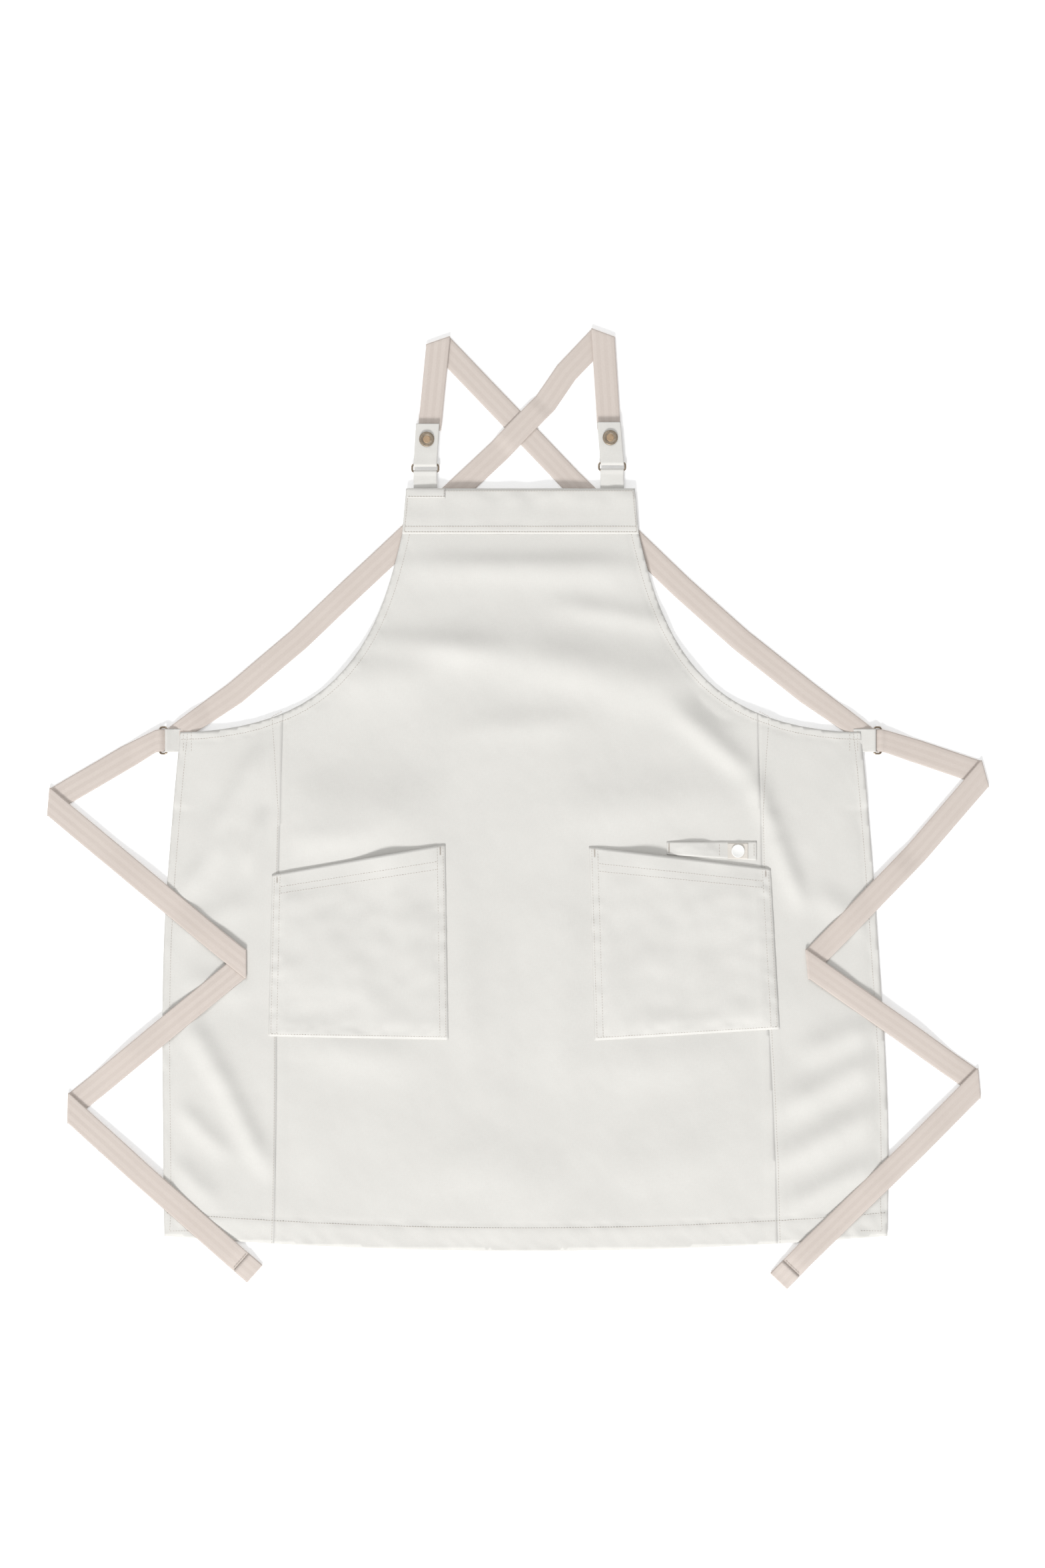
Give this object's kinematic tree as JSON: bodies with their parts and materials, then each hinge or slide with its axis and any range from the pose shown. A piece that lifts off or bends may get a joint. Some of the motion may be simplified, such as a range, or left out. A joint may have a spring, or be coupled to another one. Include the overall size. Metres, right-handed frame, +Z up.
{
  "type": "artist smock apron",
  "caption": "Cross-back cotton apron lying flat: bib, princess-seamed skirt, slanted patch pockets, utility loop, snap strap tabs on wire rings and long waist ties.",
  "frame": {"origin": "centre of the whole lay-out in plan, on the surface that it lies on", "axes": "+Y from hem to shoulders, +X to the right seen from above, +Z up out of the front of the cloth"},
  "size_m": [1.0601, 1.0798, 0.0133],
  "materials": {
    "twill": "natural off-white cotton twill, matt",
    "webbing": "natural cotton herringbone webbing, warm pinkish beige",
    "snap_brass": "antique brass, knurled darker rim",
    "ring_wire": "antiqued plated steel wire",
    "label_disc": "smooth white plain disc"
  },
  "bodies": {
    "apron": {"centre_panel": "twill", "left_side_panel": "twill", "right_side_panel": "twill", "left_armhole_facing": "twill", "right_armhole_facing": "twill", "left_side_hem": "twill", "right_side_hem": "twill", "left_seam_allowance": "twill", "right_seam_allowance": "twill", "bottom_hem": "twill", "bib_band": "twill", "left_corner_patch": "twill", "left_pocket": "twill", "right_pocket": "twill", "left_pocket_facing": "twill", "right_pocket_facing": "twill", "utility_loop": "twill", "loop_label": "webbing", "label_disc": "label_disc", "left_bib_tab": "twill", "right_bib_tab": "twill", "left_strap_tab": "twill", "right_strap_tab": "twill", "left_snap_stud": "snap_brass", "right_snap_stud": "snap_brass", "left_snap_post": "snap_brass", "right_snap_post": "snap_brass", "left_side_tab": "twill", "right_side_tab": "twill", "left_strap": "webbing", "right_strap": "webbing", "left_tie": "webbing", "right_tie": "webbing", "left_tie_end": "webbing", "right_tie_end": "webbing"},
    "left_ring": {"left_bib_ring": "ring_wire"},
    "left_flap": {"left_snap_flap": "twill", "left_snap_cap": "snap_brass", "left_snap_socket": "snap_brass"},
    "right_ring": {"right_bib_ring": "ring_wire"},
    "right_flap": {"right_snap_flap": "twill", "right_snap_cap": "snap_brass", "right_snap_socket": "snap_brass"},
    "left_waist": {"left_waist_ring": "ring_wire"},
    "right_waist": {"right_waist_ring": "ring_wire"}
  },
  "joints": [
    {"name": "left_ring_tilt", "type": "hinge", "parent": "apron", "child": "left_ring", "pos_m": [-0.107, 0.3806, 0.0045], "axis": [1, 0, 0], "range_deg": [0, 9.5]},
    {"name": "left_flap_open", "type": "hinge", "parent": "apron", "child": "left_flap", "pos_m": [-0.107, 0.38946, 0.0045], "axis": [1, 0, 0], "range_deg": [0, 140]},
    {"name": "right_ring_tilt", "type": "hinge", "parent": "apron", "child": "right_ring", "pos_m": [0.103, 0.3824, 0.0045], "axis": [1, 0, 0], "range_deg": [0, 9.5]},
    {"name": "right_flap_open", "type": "hinge", "parent": "apron", "child": "right_flap", "pos_m": [0.103, 0.39126, 0.0045], "axis": [1, 0, 0], "range_deg": [0, 140]},
    {"name": "left_waist_ring_tilt", "type": "hinge", "parent": "apron", "child": "left_waist", "pos_m": [-0.3975, 0.079, 0.0045], "axis": [0, 1, 0], "range_deg": [0, 6]},
    {"name": "right_waist_ring_tilt", "type": "hinge", "parent": "apron", "child": "right_waist", "pos_m": [0.3975, 0.079, 0.0045], "axis": [0, -1, 0], "range_deg": [0, 6]}
  ]
}
